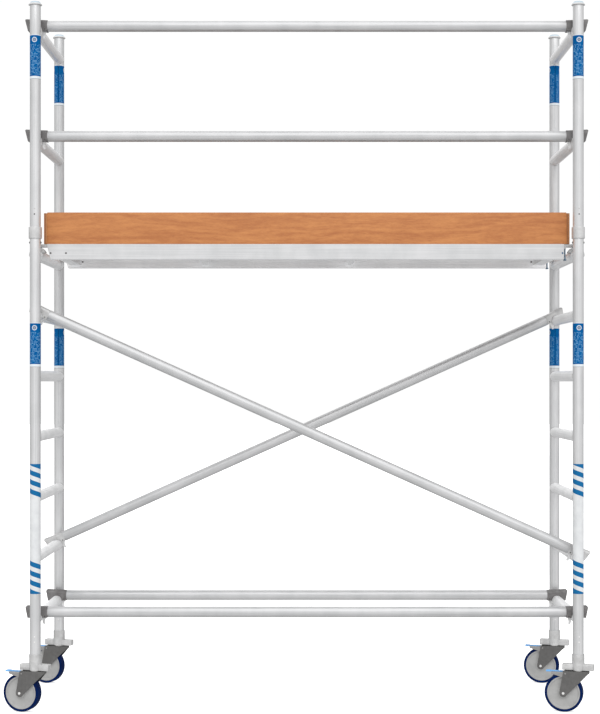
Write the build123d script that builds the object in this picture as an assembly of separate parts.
"""Rolling scaffold tower: ladder and guard frames, braces, a trapdoor platform and four castors."""

import math
import os

from build123d import *

# --- main sizes (mm) ---
BAY_LENGTH = 2500.0  # between the post axes, left to right
BAY_DEPTH = 700.0  # between the post axes, front to rear
TUBE_R = 25.0
TUBE_WALL = 2.0
BORE_R = TUBE_R - TUBE_WALL

RUNG_FIRST_Z = 427.0
RUNG_PITCH = 280.0
RUNG_COUNT = 7
GUARD_RUNG_Z = (2634.0, 3145.0)
FOOT_Z = 224.0
JOINT_Z = 2205.0
POST_TOP_Z = 3262.0
COPE_RELIEF = 3.0

BRACE_Y = 290.0
BRACE_RISE = 25.0  # brace axis above the rung axis it hooks on
DIAGONAL_RISE = 22.8
CLAW_REACH = 48.0
CLAW_HALF_WIDTH = 24.0
CLAW_MOUTH_R = TUBE_R + 0.3
LATCH_PIVOT = (37.0, 8.0)
LATCH_PIN_R = 2.5
LATCH_THICKNESS = 7.0

BEAM_FACE_Y = 298.0
BEAM_WIDTH = 50.0
BEAM_HEIGHT = 71.0
BEAM_WALL = 3.0
BEAM_TOP_Z = 2159.0
BEAM_BOTTOM_Z = BEAM_TOP_Z - BEAM_HEIGHT
BEAM_END_TOP_X = 1206.0
BEAM_END_LOW_X = 1190.0
BEAM_END_RIGHT_X = 1194.0
BEAM_AXIS_Y = BEAM_FACE_Y - BEAM_WIDTH / 2
BEAM_INNER_Y = BEAM_FACE_Y - BEAM_WIDTH
DECK_TOP_Z = 2157.0
DECK_THICKNESS = 9.0
DECK_HALF_LENGTH = 1176.0
LEDGE_WIDTH = 22.0
SUPPORT_TOP_Z = DECK_TOP_Z - DECK_THICKNESS - 0.3
CROSS_TUBE_X = (-505.0, 213.0)
CROSS_TUBE_R = 24.0
END_MEMBER_INNER_X = 1126.0
HATCH_MIN_X = -1140.0
HATCH_MAX_X = -515.0
HATCH_HALF_WIDTH = 215.0
HATCH_GAP = 2.0
HINGE_R = 3.4
HINGE_PIN_R = 1.5
HINGE_Y = -(HATCH_HALF_WIDTH + 5.0)
HINGE_Z = DECK_TOP_Z - HINGE_R - 0.1
HINGE_X = (-1000.0, -655.0)
HINGE_THIRD = 20.0
LEAF_WIDTH = 26.0
LEAF_THICKNESS = 1.8
LEAF_TOP_Z = DECK_TOP_Z - 0.1  # the leaves are let into the wood
LEAF_LOW_Z = LEAF_TOP_Z - LEAF_THICKNESS
HOOK_OUTER_R = 39.0
HOOK_WIDTH = 44.0
HOOK_ARM_Z = 2146.0
TOE_BOARD_THICKNESS = 15.0
TOE_BOARD_TOP_Z = 2305.5
TOE_BOARD_END_TOP_Z = 2302.0
TOE_BOARD_HALF_LENGTH = 1219.0
WINDLOCK_X = 1199.0
WINDLOCK_PIVOT_Z = 2140.0
WINDLOCK_LOW_Z = 2084.0
WINDLOCK_THICKNESS = 5.0
WINDLOCK_WIDTH = 34.0
WINDLOCK_PIN_R = 1.6

SWIVEL_ANGLE = -16.5  # all castors trail to the left and slightly to the rear
WHEEL_R = 87.5
WHEEL_WIDTH = 44.0
TYRE_DEPTH = 12.0
TRAIL = 65.0
AXLE_R = 5.5
FORK_TOP_Z = 189.0
FORK_PLATE = 4.5
FORK_WALL = 3.5
FORK_HALF_WIDTH = 32.0
KINGPIN_R = 8.0
SPINDLE_R = 19.0
SPINDLE_TOP_Z = 642.0
NUT_LOW_Z = 193.0
NUT_TOP_Z = 266.0
NUT_R = 29.0
WING_LENGTH = 145.0
WING_HEIGHT = 28.0
WING_THICKNESS = 36.0
PEDAL_PIVOT = (-56.0, 178.0)
PEDAL_PIN_R = 4.0
RUN = 0.05  # radial running clearance of a shaft in its hole
GAP = 0.3

# the origin lies on the floor under the middle of the overall outline
OUTLINE_CENTRE_X = -38.6
OUTLINE_CENTRE_Y = 12.9

HALF_X = BAY_LENGTH / 2
HALF_Y = BAY_DEPTH / 2
CORNERS = {
    "front_left": (-HALF_X, -HALF_Y),
    "front_right": (HALF_X, -HALF_Y),
    "rear_left": (-HALF_X, HALF_Y),
    "rear_right": (HALF_X, HALF_Y),
}


def rung_z(number):
    """Height of a ladder rung's axis, counted from 1 at the bottom."""
    return RUNG_FIRST_Z + RUNG_PITCH * (number - 1)


def rod(start, end, radius):
    """Solid round bar between two points."""
    way = Vector(*end) - Vector(*start)
    seat = Plane(origin=start, z_dir=way)
    return seat * Cylinder(radius, way.length, align=(Align.CENTER, Align.CENTER, Align.MIN))


def tube(start, end, outer, inner):
    """Round tube between two points."""
    return rod(start, end, outer) - rod(start, end, inner)


def block(low, high):
    """Box between two corners."""
    size = [b - a for a, b in zip(low, high)]
    return Pos(*low) * Box(*size, align=(Align.MIN, Align.MIN, Align.MIN))


def side_plate(points, low_y, high_y):
    """Flat plate outlined in the X-Z plane and extruded along Y."""
    outline = Plane.XZ * make_face(Polyline(*points, close=True))
    return Pos(0, high_y, 0) * extrude(outline, high_y - low_y)


def plan_plate(points, low_z, high_z):
    """Flat plate outlined in plan and extruded upwards."""
    return Pos(0, 0, low_z) * extrude(make_face(Polyline(*points, close=True)), high_z - low_z)


def turned(points):
    """Solid of revolution about the Z axis from a profile of (radius, height)."""
    return revolve(Plane.XZ * make_face(Polyline(*points, close=True)), Axis.Z)


# --- frames ---


def post(x, y, low_z, high_z):
    return tube((x, y, low_z), (x, y, high_z), TUBE_R, BORE_R)


def rung(x, z):
    """Rung tube, its ends coped to sit against the two posts."""
    half = HALF_Y - COPE_RELIEF
    piece = tube((x, -half, z), (x, half, z), TUBE_R, BORE_R)
    for y in (-HALF_Y, HALF_Y):
        piece -= rod((x, y, z - 2 * TUBE_R), (x, y, z + 2 * TUBE_R), TUBE_R)
    return piece


def ladder_frame(x):
    posts = [post(x, y, FOOT_Z, JOINT_Z) for y in (-HALF_Y, HALF_Y)]
    return posts + [rung(x, rung_z(n + 1)) for n in range(RUNG_COUNT)]


def guard_frame(x):
    posts = [post(x, y, JOINT_Z, POST_TOP_Z) for y in (-HALF_Y, HALF_Y)]
    return posts + [rung(x, z) for z in GUARD_RUNG_Z]


def joint_collar(x, y):
    """Rounded sleeve over the joint between a lower and an upper post."""
    low, high, outer, ease = 2179.0, 2232.0, 30.25, 3.0
    profile = [
        (TUBE_R, low),
        (outer - ease, low),
        (outer, low + ease),
        (outer, high - ease),
        (outer - ease, high),
        (TUBE_R, high),
    ]
    return Pos(x, y, 0) * turned(profile)


def spigot(x, y):
    return tube((x, y, 2105.0), (x, y, 2335.0), BORE_R, BORE_R - TUBE_WALL)


def post_cap(x, y):
    """Flared plug that closes the top of a post."""
    top, skirt_z, lip_z, plug_z = 3269.0, 3256.0, 3253.5, 3235.0
    profile = [
        (0, plug_z),
        (BORE_R, plug_z),
        (BORE_R, POST_TOP_Z),
        (TUBE_R, POST_TOP_Z),
        (TUBE_R, lip_z),
        (31.3, lip_z),
        (31.3, skirt_z),
        (21.5, top),
        (0, top),
    ]
    return Pos(x, y, 0) * turned(profile)


def rivet(x, y, z):
    """Domed rivet head on the front of a post."""
    head = rod((x, y - TUBE_R + 1.0, z), (x, y - TUBE_R - 1.6, z), 3.5)
    return head - rod((x, y, z - 5), (x, y, z + 5), TUBE_R)


def spigot_bolt(x, y):
    """Cross bolt below the joint, with a round head on both sides of the post."""
    z, head_r, head = 2161.0, 5.5, 4.0
    heads = []
    for side in (-1, 1):
        face = x + side * (TUBE_R + head)
        heads.append(rod((face, y, z), (x + side * (TUBE_R - 1), y, z), head_r))
    cut = rod((x, y, z - 10), (x, y, z + 10), TUBE_R)
    return [h - cut for h in heads]


def frame_fasteners():
    pieces = []
    for x, y in CORNERS.values():
        pieces += [rivet(x, y, z) for z in (324.0, 349.0, 2290.0, 2316.0)]
        pieces += spigot_bolt(x, y)
    return pieces


# --- braces ---


def claw_place(x, y, z, side, slope):
    """Seat of a claw on a rung: local X runs inwards along the brace; side is -1 left, 1 right."""
    turn = 0 if side < 0 else 180
    return Pos(x, y, z) * Rot(0, slope, 0) * Rot(0, 0, turn)


def claw(top, nose_low, nose_high):
    """Cast half-round claw that drops over a rung, with a slot and a cross pin for its latch."""
    profile = [
        (CLAW_REACH, 0),
        (CLAW_REACH, top - 5.5),
        (nose_high + 20, top - 2),
        (nose_high + 6, top),
        (nose_high, top - 6),
        (nose_low, 1),
        (nose_low, 0),
    ]
    body = side_plate(profile, -CLAW_HALF_WIDTH, CLAW_HALF_WIDTH)
    section = Plane.YZ * Pos(0, top / 2) * RectangleRounded(2 * CLAW_HALF_WIDTH, top, 18)
    lower = Plane.YZ * Pos(0, top / 4) * Rectangle(2 * CLAW_HALF_WIDTH, top / 2)
    envelope = extrude(section, CLAW_REACH) + extrude(lower, CLAW_REACH)
    envelope += extrude(section, nose_high - 1) + extrude(lower, nose_high - 1)
    body &= envelope
    body -= rod((0, -40, 0), (0, 40, 0), CLAW_MOUTH_R)
    slot = LATCH_THICKNESS / 2 + 0.4
    body -= block((20, -slot, -1), (CLAW_REACH - 2, slot, 18))
    pin_x, pin_z = LATCH_PIVOT
    body += rod((pin_x, -slot - 2, pin_z), (pin_x, slot + 2, pin_z), LATCH_PIN_R)
    return body


def latch():
    """Spring trigger that hangs beside the rung and closes the claw's mouth."""
    pin_x, pin_z = LATCH_PIVOT
    outline = [
        (29.0, 13.0),
        (27.0, 4.0),
        (26.5, -8.0),
        (23.5, -18.0),
        (26.0, -25.0),
        (30.0, -33.0),
        (36.0, -31.0),
        (34.0, -22.0),
        (36.0, -8.0),
        (43.0, 3.0),
        (43.0, 13.0),
    ]
    body = side_plate(outline, -LATCH_THICKNESS / 2, LATCH_THICKNESS / 2)
    return body - rod((pin_x, -10, pin_z), (pin_x, 10, pin_z), LATCH_PIN_R + RUN)


def brace_tube(y, left_z, right_z, rise):
    """Straight tube between the claws on a left and a right rung."""
    left = Vector(-HALF_X, y, left_z)
    way = (Vector(HALF_X, y, right_z) - left).normalized()
    up = Vector(-way.Z, 0, way.X) * rise
    start = left + way * CLAW_REACH + up
    end = Vector(HALF_X, y, right_z) - way * CLAW_REACH + up
    return tube(tuple(start), tuple(end), TUBE_R, BORE_R)


LOW_Z, MID_Z, TOP_Z = rung_z(1), GUARD_RUNG_Z[0], GUARD_RUNG_Z[1]
SHORT_Z, TALL_Z = rung_z(2), rung_z(6)
DIAGONAL_SLOPE = math.degrees(math.atan2(TALL_Z - SHORT_Z, BAY_LENGTH))
# name: (y, rung height left, rung height right, slope of the claws)
BRACES = {
    "top_rail": (-BRACE_Y, TOP_Z, TOP_Z, 0.0),
    "mid_rail": (-BRACE_Y, MID_Z, MID_Z, 0.0),
    "base_front": (-BRACE_Y, LOW_Z, LOW_Z, 0.0),
    "base_rear": (BRACE_Y, LOW_Z, LOW_Z, 0.0),
    "diagonal_front": (-BRACE_Y, TALL_Z, SHORT_Z, DIAGONAL_SLOPE),
    "diagonal_rear": (BRACE_Y, SHORT_Z, TALL_Z, -DIAGONAL_SLOPE),
}


def brace_ends(name):
    """Seats of a brace's left and right claw."""
    y, left_z, right_z, slope = BRACES[name]
    left = claw_place(-HALF_X, y, left_z, -1, slope)
    right = claw_place(HALF_X, y, right_z, 1, slope)
    return left, right


def claws(names, top, nose_low, nose_high):
    shape = claw(top, nose_low, nose_high)
    return [seat * shape for name in names for seat in brace_ends(name)]


def brace(name, rise):
    y, left_z, right_z, _ = BRACES[name]
    return brace_tube(y, left_z, right_z, rise)


# --- platform ---


def beam(side):
    """Hollow edge beam with a ledge for the deck; side is -1 front, 1 rear."""
    outline = [
        (-BEAM_END_TOP_X, BEAM_TOP_Z),
        (BEAM_END_RIGHT_X, BEAM_TOP_Z),
        (BEAM_END_RIGHT_X, BEAM_BOTTOM_Z),
        (-BEAM_END_LOW_X, BEAM_BOTTOM_Z),
    ]
    half = BEAM_WIDTH / 2
    body = side_plate(outline, -half, half)
    inside = half - BEAM_WALL
    low = BEAM_BOTTOM_Z + BEAM_WALL
    high = BEAM_TOP_Z - BEAM_WALL
    body -= block((-1300, -inside, low), (1300, inside, high))
    ledge_z = DECK_TOP_Z - DECK_THICKNESS
    body = Pos(0, side * BEAM_AXIS_Y, 0) * body
    inner = side * BEAM_INNER_Y
    edge = side * (BEAM_INNER_Y - LEDGE_WIDTH)
    ledge_low = (-END_MEMBER_INNER_X, min(inner, edge), ledge_z - BEAM_WALL)
    ledge_high = (END_MEMBER_INNER_X, max(inner, edge), ledge_z)
    ledge = block(ledge_low, ledge_high)
    tube_z = SUPPORT_TOP_Z - CROSS_TUBE_R
    for x in CROSS_TUBE_X:
        ledge -= rod((x, -300, tube_z), (x, 300, tube_z), CROSS_TUBE_R)
    return (body + ledge).solids()


def cross_members():
    """Round cross tubes and flat end members between the two beams."""
    z = SUPPORT_TOP_Z - CROSS_TUBE_R
    bore = CROSS_TUBE_R - TUBE_WALL
    pieces = []
    for x in CROSS_TUBE_X:
        pieces.append(tube((x, -BEAM_INNER_Y, z), (x, BEAM_INNER_Y, z), CROSS_TUBE_R, bore))
    for side in (-1, 1):
        near, far = sorted((side * END_MEMBER_INNER_X, side * DECK_HALF_LENGTH))
        shell = block((near, -BEAM_INNER_Y, 2100.0), (far, BEAM_INNER_Y, SUPPORT_TOP_Z))
        hollow = block((near + 3, -BEAM_INNER_Y, 2103.0), (far - 3, BEAM_INNER_Y, SUPPORT_TOP_Z - 3))
        pieces.append(shell - hollow)
    return pieces


def deck_board():
    low_z = DECK_TOP_Z - DECK_THICKNESS
    board_high = (DECK_HALF_LENGTH, BEAM_INNER_Y, DECK_TOP_Z)
    board = block((-DECK_HALF_LENGTH, -BEAM_INNER_Y, low_z), board_high)
    opening_half = HATCH_HALF_WIDTH + HATCH_GAP
    opening_low = (HATCH_MIN_X - HATCH_GAP, -opening_half, low_z - 1)
    opening_high = (HATCH_MAX_X + HATCH_GAP, opening_half, DECK_TOP_Z + 1)
    board -= block(opening_low, opening_high)
    reach_x = 1.5 * HINGE_THIRD + 0.5
    for x in HINGE_X:
        notch_low = (x - reach_x, HINGE_Y - HINGE_R - 0.4, low_z - 1)
        board -= block(notch_low, (x + reach_x, -HATCH_HALF_WIDTH, DECK_TOP_Z + 1))
        pocket_low = (x - reach_x, HINGE_Y - LEAF_WIDTH - 0.3, LEAF_LOW_Z)
        board -= block(pocket_low, (x + reach_x, HINGE_Y, DECK_TOP_Z + 1))
    return board


def hinge_leaf(x, moving):
    """One half of a hatch hinge: a flat leaf with its knuckles round the pin line."""
    reach_x = 1.5 * HINGE_THIRD
    reach = HINGE_Y + LEAF_WIDTH if moving else HINGE_Y - LEAF_WIDTH
    low_y, high_y = sorted((HINGE_Y, reach))
    body = block((x - reach_x, low_y, LEAF_LOW_Z), (x + reach_x, high_y, LEAF_TOP_Z))
    spans = [(-0.5, 0.5)] if moving else [(-1.5, -0.5), (0.5, 1.5)]
    others = [(-1.5, -0.5), (0.5, 1.5)] if moving else [(-0.5, 0.5)]
    for low, high in spans:
        start = (x + low * HINGE_THIRD, HINGE_Y, HINGE_Z)
        body += rod(start, (x + high * HINGE_THIRD, HINGE_Y, HINGE_Z), HINGE_R)
    clear = HINGE_R + GAP
    for low, high in others:
        gap_low = (x + low * HINGE_THIRD - GAP, HINGE_Y - clear, HINGE_Z - clear)
        gap_high = (x + high * HINGE_THIRD + GAP, HINGE_Y + clear, HINGE_Z + clear)
        body -= block(gap_low, gap_high)
    pin_ends = (x - reach_x, HINGE_Y, HINGE_Z), (x + reach_x, HINGE_Y, HINGE_Z)
    if not moving:
        return body + rod(*pin_ends, HINGE_PIN_R)
    return body - rod(*pin_ends, HINGE_PIN_R + RUN)


def hatch_panel():
    low = (HATCH_MIN_X, -HATCH_HALF_WIDTH, DECK_TOP_Z - DECK_THICKNESS)
    panel = block(low, (HATCH_MAX_X, HATCH_HALF_WIDTH, DECK_TOP_Z))
    grip_x = (HATCH_MIN_X + HATCH_MAX_X) / 2
    grip_low = (grip_x - 50, HATCH_HALF_WIDTH - 60, DECK_TOP_Z - 20)
    panel -= block(grip_low, (grip_x + 50, HATCH_HALF_WIDTH - 30, DECK_TOP_Z + 3))
    reach_x = 1.5 * HINGE_THIRD + 0.3
    for x in HINGE_X:
        recess_low = (x - reach_x, HINGE_Y, LEAF_LOW_Z)
        panel -= block(recess_low, (x + reach_x, HINGE_Y + LEAF_WIDTH + 0.3, DECK_TOP_Z + 1))
        panel += hinge_leaf(x, moving=True)
    return panel


def beam_rivet(x, y, way):
    """Low rivet head on a beam face at y; way is the side it stands out to."""
    height, radius, z = 1.5, 4.0, 2117.0
    return rod((x, y, z), (x, y + way * height, z), radius)


def platform_fittings():
    """Fixed hinge leaves with their pins, and the rivets that hold the hooks and end members."""
    pieces = [hinge_leaf(x, moving=False) for x in HINGE_X]
    hook_x, member_x = (-1188.0, 1186.0), (-1117.0, 1118.5)
    for side in (-1, 1):
        pieces += [beam_rivet(x, side * BEAM_FACE_Y, side) for x in hook_x]
        pieces += [beam_rivet(x, side * BEAM_INNER_Y, -side) for x in member_x]
    pieces.append(beam_rivet(member_x[0], -BEAM_FACE_Y, -1))
    return pieces


def hook(end, side):
    """Cast hook that carries one platform corner on the top rung of a ladder frame."""
    z = rung_z(RUNG_COUNT)
    half = HOOK_WIDTH / 2
    ring = rod((HALF_X, -half, z), (HALF_X, half, z), HOOK_OUTER_R)
    inner_jaw = block((HALF_X - 60, -half, z + 12), (HALF_X, half, z + 60))
    outer_jaw = block((HALF_X, -half, z - 5), (HALF_X + 60, half, z + 60))
    ring &= inner_jaw + outer_jaw
    arm_end = BEAM_END_RIGHT_X if end > 0 else BEAM_END_TOP_X
    arm = block((arm_end, -half, HOOK_ARM_Z), (HALF_X + 12, half, BEAM_TOP_Z - 1))
    fill = block((HALF_X - 12, -half, z + 30), (HALF_X + 12, half, HOOK_ARM_Z + 1))
    inside_low = (1150, -half, BEAM_BOTTOM_Z + BEAM_WALL)
    plug = block(inside_low, (BEAM_END_LOW_X, half, BEAM_TOP_Z - BEAM_WALL))
    neck_low = (BEAM_END_LOW_X - 1, -half, HOOK_ARM_Z)
    neck = block(neck_low, (arm_end + 1, half, BEAM_TOP_Z - BEAM_WALL))
    body = ring + arm + fill + plug + neck
    body -= rod((HALF_X, -half - 1, z), (HALF_X, half + 1, z), CLAW_MOUTH_R)
    if end > 0:
        for y in (-20, 20):
            ear_low = (WINDLOCK_X - 4, y - 2, WINDLOCK_PIVOT_Z - 4)
            body += block(ear_low, (WINDLOCK_X + 4, y + 2, HOOK_ARM_Z + 1))
        pivot = (WINDLOCK_X, -20, WINDLOCK_PIVOT_Z), (WINDLOCK_X, 20, WINDLOCK_PIVOT_Z)
        body += rod(*pivot, WINDLOCK_PIN_R)
    if end < 0:
        body = mirror(body, Plane.YZ)
    return Pos(0, side * BEAM_AXIS_Y, 0) * body


def windlock(side):
    """Hanging plate at the right end of a beam; its toe swings out under the rung."""
    half_t = WINDLOCK_THICKNESS / 2
    half_w = WINDLOCK_WIDTH / 2
    outline = [
        (WINDLOCK_X - half_t, WINDLOCK_LOW_Z),
        (WINDLOCK_X + half_t + 4, WINDLOCK_LOW_Z),
        (WINDLOCK_X + half_t + 4, WINDLOCK_LOW_Z + 3),
        (WINDLOCK_X + half_t, WINDLOCK_LOW_Z + 7),
        (WINDLOCK_X + half_t, WINDLOCK_PIVOT_Z + 3),
        (WINDLOCK_X - half_t, WINDLOCK_PIVOT_Z + 3),
    ]
    body = side_plate(outline, -half_w, half_w)
    pivot = (WINDLOCK_X, -30, WINDLOCK_PIVOT_Z), (WINDLOCK_X, 30, WINDLOCK_PIVOT_Z)
    body -= rod(*pivot, WINDLOCK_PIN_R + RUN)
    return Pos(0, side * BEAM_AXIS_Y, 0) * body


def toe_boards():
    """Four plywood boards on edge round the deck; the two end boards close the long ones."""
    end_x = TOE_BOARD_HALF_LENGTH
    long_x = end_x - TOE_BOARD_THICKNESS
    pieces = []
    for side in (-1, 1):
        low_y, high_y = sorted((side * BEAM_FACE_Y, side * (BEAM_FACE_Y - TOE_BOARD_THICKNESS)))
        pieces.append(block((-long_x, low_y, BEAM_TOP_Z), (long_x, high_y, TOE_BOARD_TOP_Z)))
        low_x, high_x = sorted((side * long_x, side * end_x))
        end_high = (high_x, BEAM_FACE_Y, TOE_BOARD_END_TOP_Z)
        pieces.append(block((low_x, -BEAM_FACE_Y, BEAM_TOP_Z), end_high))
    return pieces


# --- castors, drawn about their own kingpin, trailing to the left ---


def castor_place(corner):
    x, y = CORNERS[corner]
    return Pos(x, y, 0) * Rot(0, 0, SWIVEL_ANGLE)


def wing_nut():
    """Height nut: a cup that carries the post and two broad lugs to turn it by."""
    floor_z = FOOT_Z - GAP
    profile = [
        (SPINDLE_R + RUN, NUT_LOW_Z),
        (NUT_R, NUT_LOW_Z),
        (NUT_R, NUT_TOP_Z),
        (TUBE_R + RUN, NUT_TOP_Z),
        (TUBE_R + RUN, floor_z),
        (SPINDLE_R + RUN, floor_z),
    ]
    body = turned(profile)
    half = WING_THICKNESS / 2
    wing = block((-WING_LENGTH / 2, -half, NUT_LOW_Z), (WING_LENGTH / 2, half, NUT_LOW_Z + WING_HEIGHT))
    wing = fillet(wing.edges().filter_by(Axis.Z), 4)
    wing -= rod((0, 0, 150), (0, 0, 300), NUT_R - 1)
    return body + wing


def spindle():
    """Height spindle with its foot flange and the kingpin below."""
    profile = [
        (0, 178.0),
        (13.0, 178.0),
        (13.0, FORK_TOP_Z - FORK_PLATE - GAP),
        (KINGPIN_R, FORK_TOP_Z - FORK_PLATE - GAP),
        (KINGPIN_R, FORK_TOP_Z + GAP),
        (24.0, FORK_TOP_Z + GAP),
        (24.0, NUT_LOW_Z - GAP),
        (SPINDLE_R, NUT_LOW_Z - GAP),
        (SPINDLE_R, SPINDLE_TOP_Z - 2),
        (SPINDLE_R - 2, SPINDLE_TOP_Z),
        (0, SPINDLE_TOP_Z),
    ]
    return turned(profile)


def fork_plan(inset):
    """Half of the fork's outline in plan, mirrored to a closed outline."""
    wide = FORK_HALF_WIDTH - inset
    head = 26.5 - inset
    nose = 10.0 - inset
    upper = [(-90, wide), (-31, wide), (-17, head), (9, head), (51 - inset, nose)]
    return upper + [(x, -y) for x, y in reversed(upper)]


def fork():
    """Pressed-steel fork: two arms that step in to the head and run together in a nose."""
    walls = plan_plate(fork_plan(0), 60, FORK_TOP_Z) - plan_plate(fork_plan(FORK_WALL), 50, 200)
    arm = [
        (-TRAIL - 17.4, WHEEL_R + 4),
        (-67, 176),
        (-64, FORK_TOP_Z),
        (60, FORK_TOP_Z),
        (60, 184),
        (46.5, 177),
        (-50.0, WHEEL_R - 9),
    ]
    side = side_plate(arm, -50, 50) + rod((-TRAIL, -50, WHEEL_R), (-TRAIL, 50, WHEEL_R), 17.5)
    walls &= side
    plate_cut = block((-64, -50, FORK_TOP_Z - FORK_PLATE), (60, 50, FORK_TOP_Z))
    body = walls + (plan_plate(fork_plan(0), 180, FORK_TOP_Z) & plate_cut)
    body -= rod((0, 0, 150), (0, 0, 200), KINGPIN_R + RUN)
    body -= rod((-TRAIL, -50, WHEEL_R), (-TRAIL, 50, WHEEL_R), AXLE_R)
    pin_x, pin_z = PEDAL_PIVOT
    body -= rod((pin_x, -50, pin_z), (pin_x, 50, pin_z), PEDAL_PIN_R + RUN)
    return body


def axle():
    """Wheel bolt with low domed ends."""
    end = FORK_HALF_WIDTH + 2.5
    shape = rod((-TRAIL, -end, WHEEL_R), (-TRAIL, end, WHEEL_R), AXLE_R)
    return chamfer(shape.edges(), 1.2)


def wheel_centre():
    """Moulded wheel disc with a raised lip, a hub and the axle bore."""
    rim_r = WHEEL_R - TYRE_DEPTH
    upper = [
        (AXLE_R + RUN, 0),
        (AXLE_R + RUN, 27.9),
        (20.0, 27.9),
        (22.0, 26.0),
        (24.0, 17.5),
        (66.0, 17.5),
        (68.5, 20.0),
        (rim_r, 20.0),
        (rim_r, 0),
    ]
    half = turned(upper)
    disc = half + mirror(half, Plane.XY)
    return Pos(-TRAIL, 0, WHEEL_R) * Rot(90, 0, 0) * disc


def tyre():
    half, ease, step = WHEEL_WIDTH / 2, 6.0, 2.0
    rim_r = WHEEL_R - TYRE_DEPTH
    profile = [
        (rim_r, -half + 1),
        (rim_r + 1, -half),
        (WHEEL_R - ease, -half),
        (WHEEL_R - step, -half + step),
        (WHEEL_R, -half + ease),
        (WHEEL_R, half - ease),
        (WHEEL_R - step, half - step),
        (WHEEL_R - ease, half),
        (rim_r + 1, half),
        (rim_r, half - 1),
    ]
    return Pos(-TRAIL, 0, WHEEL_R) * Rot(90, 0, 0) * turned(profile)


def pedal():
    """Brake pedal: a steel channel pivoted between the fork arms, with a lever and a foot pad."""
    pin_x, pin_z = PEDAL_PIVOT
    outer, inner = 27.5, 24.5
    cheek = [(-122, 183), (-122, 176), (-72, 160), (-55, 166), (-48, 178), (-52, 183)]
    body = side_plate(cheek, -outer, outer) - block((-130, -inner, 150), (-40, inner, 180))
    body += block((-126, -9, 182), (-70, 9, 187))
    pad = block((-147, -13, 181), (-124, 13, 188))
    body += fillet(pad.edges().filter_by(Axis.Z) + pad.edges().filter_by(Axis.Y), 2.5)
    reach = FORK_HALF_WIDTH - 0.4
    for side in (-1, 1):
        body += rod((pin_x, side * inner, pin_z), (pin_x, side * reach, pin_z), PEDAL_PIN_R)
    return body


def castor_parts(corner):
    place = castor_place(corner)
    return {
        "nut": place * wing_nut(),
        "spindle": place * spindle(),
        "fork": [place * fork(), place * axle()],
        "wheel": place * wheel_centre(),
        "tyre": place * tyre(),
        "pedal": place * pedal(),
    }


def assembly():
    """Every named node, in the tower's own frame with its origin between the posts."""
    nodes = {
        "lower_frame_left": ladder_frame(-HALF_X),
        "lower_frame_right": ladder_frame(HALF_X),
        "upper_frame_left": guard_frame(-HALF_X),
        "upper_frame_right": guard_frame(HALF_X),
        "joint_collars": [joint_collar(x, y) for x, y in CORNERS.values()],
        "spigots": [spigot(x, y) for x, y in CORNERS.values()],
        "post_caps": [post_cap(x, y) for x, y in CORNERS.values()],
        "frame_fasteners": frame_fasteners(),
        "guardrails": [brace(name, BRACE_RISE) for name in ("top_rail", "mid_rail")],
        "base_braces": [brace(name, BRACE_RISE) for name in ("base_front", "base_rear")],
        "diagonal_brace_front": brace("diagonal_front", DIAGONAL_RISE),
        "diagonal_brace_rear": brace("diagonal_rear", DIAGONAL_RISE),
        "guardrail_claws": claws(("top_rail", "mid_rail"), 57.0, -41.0, -54.0),
        "base_brace_claws": claws(("base_front", "base_rear"), 56.0, -43.0, -53.0),
        "diagonal_claws": claws(("diagonal_front", "diagonal_rear"), 52.0, -38.0, -50.0),
        "platform_beams": beam(-1) + beam(1),
        "platform_cross_members": cross_members(),
        "deck_board": deck_board(),
        "hatch_panel": hatch_panel(),
        "platform_hooks": [hook(end, side) for end in (-1, 1) for side in (-1, 1)],
        "platform_fittings": platform_fittings(),
        "toe_boards": toe_boards(),
        "windlock_front": windlock(-1),
        "windlock_rear": windlock(1),
    }
    for name in BRACES:
        for end, seat in zip(("left", "right"), brace_ends(name)):
            nodes[f"latch_{name}_{end}"] = seat * latch()
    for corner in CORNERS:
        for piece, shape in castor_parts(corner).items():
            nodes[f"{piece}_{corner}"] = shape
    return nodes


def main():
    os.makedirs("parts", exist_ok=True)
    shift = Pos(-OUTLINE_CENTRE_X, -OUTLINE_CENTRE_Y, 0)
    for name, shape in assembly().items():
        pieces = shape if isinstance(shape, (list, ShapeList)) else [shape]
        solids = [shift * s for piece in pieces for s in piece.solids()]
        whole = solids[0] if len(solids) == 1 else Compound(solids)
        export_step(whole, f"parts/{name}.step")


main()
